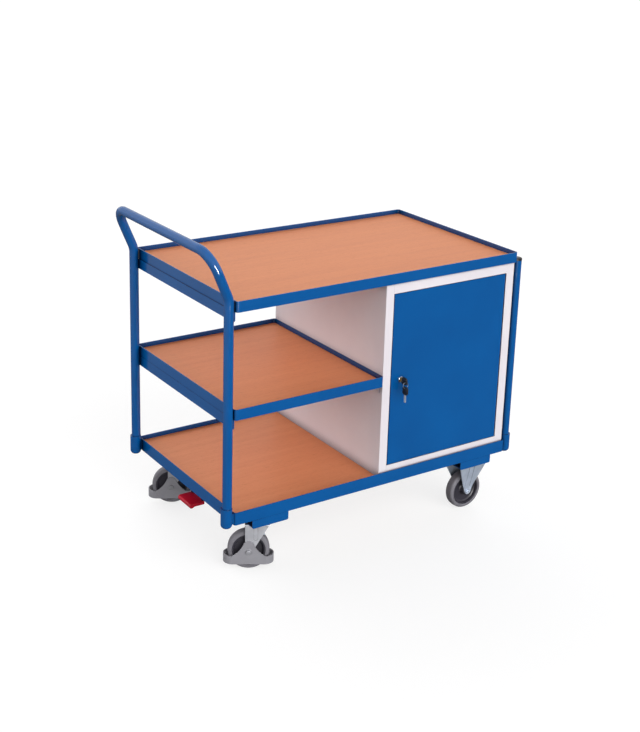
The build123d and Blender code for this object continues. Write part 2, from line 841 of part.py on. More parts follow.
def make_swivel_fork():
    """A pressed fork: two slanted legs, a crown over the wheel and the lower bearing cup."""
    foot = 11
    leg_back = -swivel_trail - foot
    crown_front = 27
    groove_place = (-13.5, 121)
    groove_length = 46
    groove_width = 13
    groove_depth = 1.5
    with BuildPart() as fork:
        with BuildSketch(Plane.XZ.offset(fork_inner)):
            with BuildLine():
                Polyline(
                    (leg_back, wheel_radius),
                    (leg_back, crown_high_z),
                    (crown_front, crown_high_z),
                    (foot - swivel_trail, wheel_radius),
                )
                RadiusArc((foot - swivel_trail, wheel_radius), (leg_back, wheel_radius), foot)
            make_face()
        extrude(amount=fork_sheet)
        with BuildSketch(Plane.XZ.offset(fork_outer)):
            with Locations(groove_place):
                SlotOverall(groove_length, groove_width, rotation=90)
        extrude(amount=-groove_depth, mode=Mode.SUBTRACT)
        mirror(about=Plane.XZ)
        block((leg_back, crown_front), (-fork_outer, fork_outer), (crown_low_z, crown_high_z))
        shoulders = fork.edges().filter_by(Axis.X).group_by(Axis.Z)[-1]
        fillet(shoulders, 3)
        upright(0, 0, (crown_high_z - 1, boss_high_z), boss_radius)
        lip = fork.edges().filter_by(GeomType.CIRCLE).group_by(Axis.Z)[-1]
        fillet(lip, 3)
        bore = kingpin_radius + running_clearance
        upright(0, 0, (crown_low_z, boss_high_z), bore, Mode.SUBTRACT)
        crosswise(-swivel_trail, (-fork_outer, fork_outer), wheel_radius, axle_radius, Mode.SUBTRACT)
    return fork


def make_wheel_guard():
    """A plastic foot guard: a ring round the wheel with an A-shaped cheek on each side of the axle."""
    cheek_foot = 52
    cheek_waist = (32, 61.5)
    cheek_neck = (16, 85)
    cheek_top_z = 97
    with BuildPart() as guard:
        with BuildSketch(Plane.XY.offset(guard_low_z)):
            SlotOverall(guard_length, 2 * guard_outer)
            SlotOverall(guard_length - 2 * guard_wall, 2 * fork_outer, mode=Mode.SUBTRACT)
        extrude(amount=guard_high_z - guard_low_z)
        with BuildSketch(Plane.XZ.offset(fork_outer)):
            with BuildLine():
                Line((-cheek_foot, guard_high_z - 1), (cheek_foot, guard_high_z - 1))
                ThreePointArc((cheek_foot, guard_high_z - 1), cheek_waist, cheek_neck)
                ThreePointArc(cheek_neck, (0, cheek_top_z), (-cheek_neck[0], cheek_neck[1]))
                waist = (-cheek_waist[0], cheek_waist[1])
                ThreePointArc((-cheek_neck[0], cheek_neck[1]), waist, (-cheek_foot, guard_high_z - 1))
            make_face()
        extrude(amount=guard_wall)
        mirror(about=Plane.XZ)
        crosswise(0, (-guard_outer, guard_outer), wheel_radius, axle_radius, Mode.SUBTRACT)
    return guard


def make_brake_plunger():
    """The plunger through the kingpin, with a head above and a shoe above the tyre."""
    shoe_x = (-5, 13)
    shoe_half_width = 12
    shoe_z = (100, kingpin_low_z - 0.7)
    head_height = 3
    with BuildPart() as plunger:
        block(shoe_x, (-shoe_half_width, shoe_half_width), shoe_z)
        reach = (-shoe_half_width, shoe_half_width)
        crosswise(-swivel_trail, reach, wheel_radius, wheel_radius + shoe_gap, Mode.SUBTRACT)
        upright(0, 0, (shoe_z[1] - 1, plunger_high_z), plunger_radius)
        upright(0, 0, (plunger_high_z - head_height, plunger_high_z), plunger_radius + 3)
    return plunger


# Fixed castor, built around the middle of its plate


def leg_path(offset):
    """The side view of a splayed leg, from below the axle up to the plate."""
    middle = fork_inner + fork_sheet / 2 + offset
    foot_z = wheel_radius - 16
    bend_z = wheel_radius + 18
    leg_bend_radius = 60
    FilletPolyline(
        (middle, foot_z),
        (middle, bend_z),
        (middle + leg_splay, plate_low_z),
        radius=leg_bend_radius,
    )


def make_fixed_fork():
    """A pressed fork in one piece with its plate; the legs splay outwards and have two ribs each."""
    foot_radius = 11
    top_half_width = 51
    straight_z = 156
    rib_x = 10
    rib_half_width = 4
    rib_height = 1.5
    rib_low_z = 80
    with BuildPart() as fork:
        for x in (-rib_x, rib_x):
            with BuildSketch(Plane.YZ.offset(x - rib_half_width)):
                with BuildLine():
                    leg_path(rib_height)
                trace(line_width=fork_sheet)
            extrude(amount=2 * rib_half_width)
        block((-plate_length, plate_length), (0, plate_length), (0, rib_low_z), Mode.SUBTRACT)
        with BuildSketch(Plane.YZ.offset(-top_half_width)):
            with BuildLine():
                leg_path(0)
            trace(line_width=fork_sheet)
        extrude(amount=2 * top_half_width)
        with BuildSketch(Plane.XZ):
            with Locations((0, wheel_radius)):
                Circle(foot_radius)
            with Locations((0, (straight_z + plate_low_z) / 2)):
                Rectangle(2 * top_half_width, plate_low_z - straight_z)
            make_hull()
        extrude(amount=-plate_length, mode=Mode.INTERSECT)
        mirror(about=Plane.XZ)
        with BuildSketch(Plane.XY.offset(plate_low_z)):
            RectangleRounded(plate_length, fixed_plate_width, 8)
            with Locations(bolt_places(0, 0)):
                Circle(bolt_radius + 0.5, mode=Mode.SUBTRACT)
        extrude(amount=plate_thickness)
        crosswise(0, (-fork_outer, fork_outer), wheel_radius, axle_radius, Mode.SUBTRACT)
    return fork


# Brake linkage


def make_brake_shaft():
    """The cross shaft in the channel, with a lever over each plunger."""
    nose_x = swivel_x - 3
    lever_half_width = 6
    lever_z = (plunger_high_z + lever_gap, shaft_z + 6)
    with BuildPart() as shaft:
        crosswise(shaft_x, (-shaft_half_length, shaft_half_length), shaft_z, shaft_radius)
        for y in (-castor_y, castor_y):
            lever_y = (y - lever_half_width, y + lever_half_width)
            crosswise(shaft_x, lever_y, shaft_z, shaft_radius + 4)
            block((nose_x, shaft_x), lever_y, lever_z)
    return shaft


def make_shaft_brackets():
    """Two bearing blocks on the channel floor that carry the brake shaft."""
    half_length = 12
    half_width_y = 6
    with BuildPart() as brackets:
        for y in (-bracket_y, bracket_y):
            bracket_x = (shaft_x - half_length, shaft_x + half_length)
            bracket_z = (channel_floor_z, shaft_z + half_length)
            block(bracket_x, (y - half_width_y, y + half_width_y), bracket_z)
        top_edges = brackets.edges().filter_by(Axis.Y).group_by(Axis.Z)[-1]
        fillet(top_edges, half_length - 2)
        bore = shaft_radius + running_clearance
        reach = (-bracket_y - half_width_y, bracket_y + half_width_y)
        crosswise(shaft_x, reach, shaft_z, bore, Mode.SUBTRACT)
    return brackets


def make_pedal_arms():
    """Two cranked arms from the brake shaft to the pedal."""
    bar_z = (shaft_z - 4, shaft_z + 4)
    bend_x = shaft_x - 112
    with BuildPart() as arms:
        for y in (-arm_y, arm_y):
            arm_range = (y - arm_thickness / 2, y + arm_thickness / 2)
            crosswise(shaft_x, arm_range, shaft_z, shaft_radius + 4)
            block((bend_x, shaft_x), arm_range, bar_z)
            block((bend_x, bend_x + 8), arm_range, (pedal_top_z, bar_z[1]))
            crosswise(shaft_x, arm_range, shaft_z, shaft_radius, Mode.SUBTRACT)
    return arms


def make_brake_pedal():
    """The foot pedal: a plate with a deep rounded lip at its front edge."""
    x = (pedal_front, pedal_rear)
    y = (-pedal_half_width, pedal_half_width)
    lip_depth = 9
    lip_low_z = pedal_top_z - pedal_lip
    with BuildPart() as pedal:
        block(x, y, (pedal_top_z - pedal_thickness, pedal_top_z))
        block((x[0], x[0] + lip_depth), y, (lip_low_z, pedal_top_z))
        corners = pedal.edges().filter_by(Axis.Z).group_by(Axis.X)[0]
        fillet(corners, 6)
        top_rim = pedal.faces().sort_by(Axis.Z)[-1].edges()
        fillet(top_rim, 2.5)
    return pedal


# Frame
save(make_push_handle(), "push_handle")
save(make_right_posts(), "right_posts")
save(make_post_caps(), "post_caps")
save(make_post_sockets(), "post_sockets")

# Decks and shelf
deck_ends = (left_end, right_end)
top_frame = make_deck_frame(deck_ends, top_rim_z, rail_height, [left_screw_x], True)
save(top_frame, "top_deck_frame")
save(make_board(deck_ends, top_rim_z, [left_screw_x], True), "top_deck_board")
shelf_x = (shelf_left, cabinet_left)
shelf_columns = [left_screw_x, shelf_screw_x]
shelf_frame = make_deck_frame(shelf_x, shelf_rim_z, rail_height, shelf_columns)
save(shelf_frame, "shelf_frame")
save(make_board(shelf_x, shelf_rim_z, shelf_columns), "shelf_board")
bottom_frame = make_deck_frame(deck_ends, bottom_rim_z, bottom_rail_height, [])
save(bottom_frame, "bottom_deck_frame")
save(make_board(deck_ends, bottom_rim_z, []), "bottom_deck_board")
save(make_cross_rail(top_cross_low_z, top_rim_z - rail_height), "top_cross_rail")
save(make_cross_rail(shelf_cross_low_z, shelf_rim_z - rail_height), "shelf_cross_rail")
save(make_end_bar(), "end_bar")
save(make_shelf_support(), "shelf_support")
save(make_deck_screws(), "deck_screws")

# Cabinet
save(make_cabinet_side(cabinet_left, 1, opening_left), "cabinet_left_side")
save(make_cabinet_side(cabinet_right, -1, opening_right), "cabinet_right_side")
save(make_cabinet_top(), "cabinet_top")
save(make_cabinet_floor(), "cabinet_floor")
save(make_cabinet_back(), "cabinet_back")
save(make_cabinet_shelf(), "cabinet_shelf")
save(make_shelf_clips(), "shelf_clips")
save(make_hinge_pins(), "hinge_pins")

# Door, lock and keys
save(make_door_panel(), "door_panel")
save(make_hinge_sleeves(), "hinge_sleeves")
save(make_lock_housing(), "lock_housing")
save(make_lock_plug(), "lock_plug")
save(make_lock_cam(), "lock_cam")
save(make_key(), "key")
save(make_key_head(), "key_head")
save(make_key_ring(), "key_ring")
save(make_spare_key(), "spare_key")
save(make_spare_key_head(), "spare_key_head")

# Castor channels and bolts
save(make_castor_channel(swivel_channel_x, swivel_x, True), "swivel_castor_channel")
save(make_castor_channel(fixed_channel_x, fixed_x, False), "fixed_castor_channel")
save(make_castor_bolts(), "castor_bolts")

# Castors
swivel_plates = [Location((swivel_x, -castor_y, 0)), Location((swivel_x, castor_y, 0))]
fixed_plates = [Location((fixed_x, -castor_y, 0)), Location((fixed_x, castor_y, 0))]
fixed_axles = [Location((fixed_x, -castor_y, wheel_radius)), Location((fixed_x, castor_y, wheel_radius))]
save_copies(make_swivel_plate(), "swivel_plates", swivel_plates)
save_copies(make_kingpin(), "kingpins", swivel_plates)
save_copies(make_fixed_fork(), "fixed_forks", fixed_plates)
save_copies(make_axle(fork_outer), "fixed_axles", fixed_axles)
for side, y in (("front", -castor_y), ("rear", castor_y)):
    swivel = Location((swivel_x, y, 0), (0, 0, swivel_turn))
    wheel_x = swivel_x - swivel_trail * math.cos(turn)
    wheel_y = y - swivel_trail * math.sin(turn)
    swivel_foot = Location((wheel_x, wheel_y, 0), (0, 0, swivel_turn))
    swivel_axle = Location((wheel_x, wheel_y, wheel_radius), (0, 0, swivel_turn))
    save(make_swivel_fork(), f"{side}_swivel_fork", swivel)
    save(make_wheel_guard(), f"{side}_wheel_guard", swivel_foot)
    save(make_axle(guard_outer), f"{side}_swivel_axle", swivel_axle)
    save(make_rim(), f"{side}_swivel_rim", swivel_axle)
    save(make_tyre(), f"{side}_swivel_tyre", swivel_axle)
    save(make_brake_plunger(), f"{side}_brake_plunger", swivel)
    fixed_axle = Location((fixed_x, y, wheel_radius))
    save(make_rim(), f"{side}_fixed_rim", fixed_axle)
    save(make_tyre(), f"{side}_fixed_tyre", fixed_axle)

# Brake linkage
save(make_brake_shaft(), "brake_shaft")
save(make_shaft_brackets(), "shaft_brackets")
save(make_pedal_arms(), "pedal_arms")
save(make_brake_pedal(), "brake_pedal")
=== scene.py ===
"""Looks of the mobile workbench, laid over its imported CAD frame."""

import json
import math

import bpy
from mathutils import Matrix, Vector


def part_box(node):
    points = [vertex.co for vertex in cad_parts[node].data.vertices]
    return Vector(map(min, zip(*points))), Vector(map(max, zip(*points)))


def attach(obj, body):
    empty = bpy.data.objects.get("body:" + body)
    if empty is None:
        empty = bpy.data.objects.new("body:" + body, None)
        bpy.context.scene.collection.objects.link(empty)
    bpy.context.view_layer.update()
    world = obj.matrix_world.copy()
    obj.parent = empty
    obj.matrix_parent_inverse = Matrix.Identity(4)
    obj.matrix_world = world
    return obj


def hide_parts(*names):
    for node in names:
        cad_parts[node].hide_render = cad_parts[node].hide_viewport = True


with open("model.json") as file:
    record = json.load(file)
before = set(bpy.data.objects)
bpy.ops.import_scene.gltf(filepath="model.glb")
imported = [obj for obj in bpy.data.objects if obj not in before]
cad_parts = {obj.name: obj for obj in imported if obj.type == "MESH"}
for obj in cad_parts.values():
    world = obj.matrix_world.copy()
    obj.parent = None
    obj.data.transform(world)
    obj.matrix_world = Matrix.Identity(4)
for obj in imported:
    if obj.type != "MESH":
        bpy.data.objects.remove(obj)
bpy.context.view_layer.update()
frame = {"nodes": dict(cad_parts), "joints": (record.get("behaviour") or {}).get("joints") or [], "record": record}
cad_nodes = frame["nodes"]
joints = {joint["name"]: joint for joint in frame["joints"]}
body_of_node = {}
for body, members in frame["record"]["behaviour"]["bodies"].items():
    for member in members:
        body_of_node[member] = body

mm = 0.001

# Camera, where the photograph was taken from
image_width = 640
focal_length_in_pixels = 1299.06
sensor_width = 36
camera_place = Vector((-2.16903, -3.14581, 1.9685))
camera_heading = 1.00148
camera_pitch = 0.29315
camera_roll = 0.02074
frame_shift = (0.06284, -0.15628)

# Light
room_light = 4.3
room_tones = ((0.0, 1.0), (0.067, 0.5), (0.2, 0.07), (0.5, 0.2), (0.75, 0.41), (1.0, 0.6))
room_low = 0.64
room_high = 0.87
floor_albedo = 0.25
floor_white = 0.74
floor_shade = 0.3
floor_size = 80
mirrored_floor_start = -0.6
mirrored_floor_end = -2.6
mirrored_floor_near = 0.16
mirrored_floor_far = 0.6
soft_box_place = Vector((-0.76, -2.28, 0.88))
soft_box_aim = Vector((-0.53, -0.29, 0.96))
soft_box_lean = Vector((-0.58, 0, 0.82))
soft_box_size = (0.6, 1.3)
soft_box_power = 100

# Wheels and their axle bolts
tyre_radius = 62.5 * mm
tyre_half_width = 16 * mm
rim_radius = 49.5 * mm
axle_radius = 6 * mm
swivel_axle_half_length = 28 * mm
fixed_axle_half_length = 25 * mm
washer_radius = 9.6 * mm
washer_thickness = 1 * mm
hexagon_radius = 8 * mm
hexagon_height = 3.4 * mm
shaft_stand_out = 0.6 * mm

# Clean-up of meshes
cad_merge_distance = 0.005 * mm
merge_distance = 0.01 * mm
flat_within = math.radians(0.4)
smooth_within = math.radians(42)

# Clouds, edge wear with painted edge highlights, and painted shade in recesses of the finishes
noise_low = 0.25
noise_high = 0.75
edge_begins = 0.98
edge_full = 0.8
# Reach of the lighter edges, which are partly wear and partly a painted highlight
paint_wear_and_highlight_reach = 1.2 * mm
metal_wear_and_highlight_reach = 0.8 * mm
plastic_wear_and_highlight_reach = 0.9 * mm
# Reach of the painted shade in recesses
paint_shade_reach = 45 * mm
metal_shade_reach = 60 * mm


def linear(value):
    """One channel from 0 to 255 as light."""
    share = value / 255
    if share <= 0.04045:
        return share / 12.92
    return ((share + 0.055) / 1.055) ** 2.4


def colour(red, green, blue):
    """A colour as it is seen on a screen, for a shader."""
    return (linear(red), linear(green), linear(blue), 1)


white = (1, 1, 1, 1)


# Camera, floor and lights


def add_camera():
    level = math.cos(camera_pitch)
    ahead = (math.cos(camera_heading) * level, math.sin(camera_heading) * level)
    aim = Vector((*ahead, -math.sin(camera_pitch)))
    level_right = aim.cross(Vector((0, 0, 1))).normalized()
    level_up = level_right.cross(aim)
    right = level_right * math.cos(camera_roll) + level_up * math.sin(camera_roll)
    up = level_up * math.cos(camera_roll) - level_right * math.sin(camera_roll)
    lens = bpy.data.cameras.new("photo_camera")
    lens.sensor_fit = "HORIZONTAL"
    lens.sensor_width = sensor_width
    lens.lens = focal_length_in_pixels * sensor_width / image_width
    lens.shift_x, lens.shift_y = frame_shift
    camera = bpy.data.objects.new("photo_camera", lens)
    turn = Matrix((right, up, -aim)).transposed()
    camera.matrix_world = Matrix.Translation(camera_place) @ turn.to_4x4()
    bpy.context.scene.collection.objects.link(camera)
    bpy.context.scene.camera = camera


def add_node(tree, kind, inputs=None, **settings):
    """A shader node with its settings, and its inputs linked or set."""
    node = tree.nodes.new(kind)
    for setting, value in settings.items():
        setattr(node, setting, value)
    for socket, value in (inputs or {}).items():
        if isinstance(value, bpy.types.NodeSocket):
            tree.links.new(value, node.inputs[socket])
        else:
            node.inputs[socket].default_value = value
    return node


def add_room_light():
    """A white room lit low from the front and from behind; it shows as plain white behind the workbench."""
    world = bpy.data.worlds.new("studio")
    bpy.context.scene.world = world
    world.use_nodes = True
    tree = world.node_tree
    tree.nodes.clear()
    way = add_node(tree, "ShaderNodeTexCoord").outputs["Generated"]
    flat_way = add_node(tree, "ShaderNodeVectorMath", {0: way, 1: (1, 1, 0)}, operation="MULTIPLY")
    level_way = add_node(tree, "ShaderNodeVectorMath", {0: flat_way.outputs[0]}, operation="NORMALIZE")
    backwards = add_node(tree, "ShaderNodeSeparateXYZ", {0: level_way.outputs[0]}).outputs["Y"]
    upwards = add_node(tree, "ShaderNodeSeparateXYZ", {0: way}).outputs["Z"]
    front_to_back = add_node(tree, "ShaderNodeMapRange", {"Value": backwards, "From Min": -1.0}).outputs[0]
    around = shades(tree, front_to_back, *[(place, (tone, tone, tone, 1)) for place, tone in room_tones])
    fall = {"Value": upwards, "From Min": room_low, "From Max": room_high}
    fall.update({"To Min": room_light, "To Max": 0.0})
    strength = add_node(tree, "ShaderNodeMapRange", fall, interpolation_type="SMOOTHSTEP").outputs[0]
    path = add_node(tree, "ShaderNodeLightPath")
    ways = {0: path.outputs["Is Camera Ray"], 1: path.outputs["Is Glossy Ray"]}
    direct = add_node(tree, "ShaderNodeMath", ways, operation="MAXIMUM").outputs[0]
    soft = add_node(tree, "ShaderNodeBackground", {"Color": around, "Strength": strength})
    backdrop = add_node(tree, "ShaderNodeBackground", {"Color": white, "Strength": 1.0})
    both = add_node(tree, "ShaderNodeMixShader", {0: direct, 1: soft.outputs[0], 2: backdrop.outputs[0]})
    add_node(tree, "ShaderNodeOutputWorld", {"Surface": both.outputs[0]})


def add_floor():
    """A plain floor that looks white and keeps a pale shadow; mirror images show it darker close by."""
    bpy.ops.object.select_all(action="DESELECT")
    bpy.ops.mesh.primitive_plane_add(size=floor_size)
    floor = bpy.context.active_object
    floor.name = "studio_floor"
    finish = bpy.data.materials.new("studio_floor")
    finish.use_nodes = True
    tree = finish.node_tree
    tree.nodes.clear()
    path = add_node(tree, "ShaderNodeLightPath")
    place = add_node(tree, "ShaderNodeTexCoord").outputs["Object"]
    along = add_node(tree, "ShaderNodeSeparateXYZ", {0: place}).outputs["X"]
    reach = {"Value": along, "From Min": mirrored_floor_start, "From Max": mirrored_floor_end}
    reach.update({"To Min": mirrored_floor_near, "To Max": mirrored_floor_far})
    mirrored_tone = add_node(tree, "ShaderNodeMapRange", reach).outputs[0]
    grey = (floor_albedo, floor_albedo, floor_albedo, 1)
    shade = (floor_shade, floor_shade, floor_shade, 1)
    matt = add_node(tree, "ShaderNodeBsdfDiffuse", {"Color": grey})
    pale = add_node(tree, "ShaderNodeBsdfDiffuse", {"Color": shade})
    glow = add_node(tree, "ShaderNodeEmission", {"Color": white, "Strength": floor_white})
    seen = add_node(tree, "ShaderNodeAddShader", {0: pale.outputs[0], 1: glow.outputs[0]})
    mirrored = add_node(tree, "ShaderNodeEmission", {"Color": white, "Strength": mirrored_tone})
    far_rays = {0: path.outputs["Is Glossy Ray"], 1: matt.outputs[0], 2: mirrored.outputs[0]}
    unseen = add_node(tree, "ShaderNodeMixShader", far_rays)
    all_rays = {0: path.outputs["Is Camera Ray"], 1: unseen.outputs[0], 2: seen.outputs[0]}
    both = add_node(tree, "ShaderNodeMixShader", all_rays)
    add_node(tree, "ShaderNodeOutputMaterial", {"Surface": both.outputs[0]})
    floor.data.materials.append(finish)


def add_soft_box():
    """A tall leaning soft box in front of the handle, seen only as bright streaks on glossy pieces."""
    lamp = bpy.data.lights.new("soft_box", "AREA")
    lamp.shape = "RECTANGLE"
    lamp.size, lamp.size_y = soft_box_size
    lamp.energy = soft_box_power
    box = bpy.data.objects.new("soft_box", lamp)
    back = (soft_box_place - soft_box_aim).normalized()
    side = soft_box_lean.cross(back).normalized()
    turn = Matrix((side, back.cross(side), back)).transposed()
    box.matrix_world = Matrix.Translation(soft_box_place) @ turn.to_4x4()
    box.visible_camera = False
    box.visible_diffuse = False
    bpy.context.scene.collection.objects.link(box)


# Finishes


def start_finish(name):
    """A new material, its tree, its shader and the place on the piece."""
    finish = bpy.data.materials.new(name)
    finish.use_nodes = True
    tree = finish.node_tree
    place = add_node(tree, "ShaderNodeTexCoord").outputs["Object"]
    return finish, tree, tree.nodes["Principled BSDF"], place


def speckle(tree, place, scale=1.0, detail=3.0, roughness=0.5):
    """Soft cloudy noise."""
    inputs = {"Vector": place, "Scale": scale, "Detail": detail, "Roughness": roughness}
    return add_node(tree, "ShaderNodeTexNoise", inputs).outputs[0]


def stretched(tree, place, scale):
    """The place, squeezed more along one axis than along another."""
    return add_node(tree, "ShaderNodeMapping", {"Vector": place, "Scale": scale}).outputs[0]


def between(tree, share, low, high):
    """A value that runs from low to high across the usual range of a noise."""
    inputs = {"Value": share, "From Min": noise_low, "From Max": noise_high}
    inputs.update({"To Min": low, "To Max": high})
    return add_node(tree, "ShaderNodeMapRange", inputs).outputs[0]


def shades(tree, share, *stops):
    """A colour that follows the share through the given stops."""
    ramp = add_node(tree, "ShaderNodeValToRGB", {"Fac": share})
    ramp.color_ramp.elements[0].position, ramp.color_ramp.elements[0].color = stops[0]
    ramp.color_ramp.elements[1].position, ramp.color_ramp.elements[1].color = stops[-1]
    for position, tone in stops[1:-1]:
        ramp.color_ramp.elements.new(position).color = tone
    return ramp.outputs["Color"]


def near_edges(tree, reach):
    """One along the sharp edges of a piece, fading out within the reach."""
    rounded = add_node(tree, "ShaderNodeBevel", {"Radius": reach}, samples=6)
    plain = add_node(tree, "ShaderNodeNewGeometry")
    normals = {0: rounded.outputs[0], 1: plain.outputs["Normal"]}
    agreement = add_node(tree, "ShaderNodeVectorMath", normals, operation="DOT_PRODUCT")
    inputs = {"Value": agreement.outputs["Value"], "From Min": edge_begins, "From Max": edge_full}
    return add_node(tree, "ShaderNodeMapRange", inputs).outputs[0]


def mixed(tree, share, first, second, blend="MIX"):
    """Two colours, the second laid over the first by the share."""
    both = add_node(tree, "ShaderNodeMix", {"Factor": share}, data_type="RGBA", blend_type=blend)
    for socket, tone in (("A", first), ("B", second)):
        if isinstance(tone, bpy.types.NodeSocket):
            tree.links.new(tone, both.inputs[socket])
        else:
            both.inputs[socket].default_value = tone
    return both.outputs["Result"]


def open_share(tree, reach):
    """One on open faces and less in recesses and between close walls."""
    return add_node(tree, "ShaderNodeAmbientOcclusion", {"Distance": reach}, samples=8).outputs["AO"]


def edge_wear_and_highlight(tree, plain_colour, edge_colour, reach, patches):
    """The plain colour with the edge colour laid in along edges, in patches: edge wear and a painted edge
    highlight.
    """
    # Lighter edge colour along sharp edges: partly wear, partly a painted highlight.
    edge = {0: near_edges(tree, reach), 1: patches}
    rubbed_and_lit = add_node(tree, "ShaderNodeMath", edge, operation="MULTIPLY")
    return mixed(tree, rubbed_and_lit.outputs[0], plain_colour, edge_colour)


def dents(tree, shader, height, depth, strength):
    """Small height differences in the surface."""
    bump = add_node(tree, "ShaderNodeBump", {"Height": height, "Distance": depth, "Strength": strength})
    tree.links.new(bump.outputs[0], shader.inputs["Normal"])


def powder_coat(name, dark, light, edge_colour, roughness, mirror):
    """Powder coat: faint orange peel, slight clouds, paler edges in patches (wear and a painted highlight) and
    painted shade darkening the recesses.
    """
    finish, tree, shader, place = start_finish(name)
    clouds = speckle(tree, place, scale=6, detail=4)
    paint = shades(tree, clouds, (0.3, dark), (0.7, light))
    patches = between(tree, speckle(tree, place, scale=45), 0.0, 0.35)
    paint = edge_wear_and_highlight(tree, paint, edge_colour, paint_wear_and_highlight_reach, patches)
    # Painted shade: the colour is multiplied darker by ambient occlusion in recesses and between close parts.
    recesses = open_share(tree, paint_shade_reach)
    painted_shade = shades(tree, recesses, (0.35, colour(125, 125, 132)), (0.9, white))
    tree.links.new(mixed(tree, 1.0, paint, painted_shade, "MULTIPLY"), shader.inputs["Base Color"])
    shader.inputs["Specular IOR Level"].default_value = mirror
    smears = speckle(tree, place, scale=24, detail=4)
    tree.links.new(between(tree, smears, roughness - 0.03, roughness + 0.05), shader.inputs["Roughness"])
    orange_peel = speckle(tree, place, scale=420, detail=2)
    dents(tree, shader, orange_peel, depth=0.05 * mm, strength=0.12)
    return finish


def beech_decor():
    """Melamine-faced board with a fine beech print: long soft grain and short dark flecks."""
    finish, tree, shader, place = start_finish("board_finish")
    grain = speckle(tree, stretched(tree, place, (1.6, 42, 42)), detail=5, roughness=0.6)
    flecks = speckle(tree, stretched(tree, place, (60, 900, 900)), detail=2, roughness=0.4)
    pale = colour(218, 141, 99)
    middle = colour(214, 136, 94)
    deep = colour(209, 130, 89)
    print_tone = shades(tree, grain, (0.25, deep), (0.5, middle), (0.75, pale))
    marks = shades(tree, flecks, (0.6, white), (0.72, (0.74, 0.66, 0.6, 1)))
    wood = mixed(tree, 0.7, print_tone, marks, "MULTIPLY")
    tree.links.new(wood, shader.inputs["Base Color"])
    tree.links.new(between(tree, grain, 0.36, 0.44), shader.inputs["Roughness"])
    shader.inputs["Specular IOR Level"].default_value = 0.08
    dents(tree, shader, flecks, depth=0.03 * mm, strength=0.3)
    return finish


def plated_metal(name, dark, light, roughness, metallic, recess_shade=white):
    """Plated metal: faint clouds, fine drawing lines, brighter edges (wear and a painted highlight) and painted
    shade in the recesses.
    """
    finish, tree, shader, place = start_finish(name)
    clouds = speckle(tree, place, scale=40, detail=4)
    lines = speckle(tree, stretched(tree, place, (90, 90, 700)))
    tone = shades(tree, clouds, (0.3, dark), (0.7, light))
    # White laid along the edges: wear and a painted highlight.
    tone = edge_wear_and_highlight(tree, tone, white, metal_wear_and_highlight_reach, 0.15)
    # Painted shade: ambient occlusion darkens the colour towards the shade tone in recesses and between close
    # parts.
    recesses = shades(tree, open_share(tree, metal_shade_reach), (0.25, recess_shade), (0.75, white))
    tone = mixed(tree, 1.0, tone, recesses, "MULTIPLY")
    tree.links.new(tone, shader.inputs["Base Color"])
    shader.inputs["Metallic"].default_value = metallic
    tree.links.new(between(tree, clouds, roughness - 0.04, roughness + 0.06), shader.inputs["Roughness"])
    dents(tree, shader, lines, depth=0.02 * mm, strength=0.2)
    return finish


def moulded_plastic(name, dark, light, roughness, grain_depth, mirror=0.35):
    """Injection-moulded plastic with a fine eroded grain and slightly paler edges, partly wear and partly a
    painted highlight.
    """
    finish, tree, shader, place = start_finish(name)
    grain = speckle(tree, place, scale=1100, detail=2)
    clouds = speckle(tree, place, scale=16, detail=4)
    tone = shades(tree, clouds, (0.3, dark), (0.7, light))
    patches = between(tree, speckle(tree, place, scale=90), 0.0, 0.3)
    tone = edge_wear_and_highlight(tree, tone, light, plastic_wear_and_highlight_reach, patches)
    tree.links.new(tone, shader.inputs["Base Color"])
    tree.links.new(between(tree, grain, roughness - 0.05, roughness + 0.08), shader.inputs["Roughness"])
    shader.inputs["Specular IOR Level"].default_value = mirror
    dents(tree, shader, grain, grain_depth, strength=0.35)
    return finish


def tyre_rubber():
    """Light grey solid rubber: matt, a little dusty, with fine pores."""
    finish, tree, shader, place = start_finish("tyre_finish")
    clouds = speckle(tree, place, scale=30, detail=5)
    pores = speckle(tree, place, scale=900)
    tone = shades(tree, clouds, (0.25, colour(113, 111, 118)), (0.75, colour(128, 126, 133)))
    tree.links.new(tone, shader.inputs["Base Color"])
    tree.links.new(between(tree, clouds, 0.55, 0.7), shader.inputs["Roughness"])
    shader.inputs["Specular IOR Level"].default_value = 0.3
    dents(tree, shader, pores, depth=0.08 * mm, strength=0.35)
    return finish


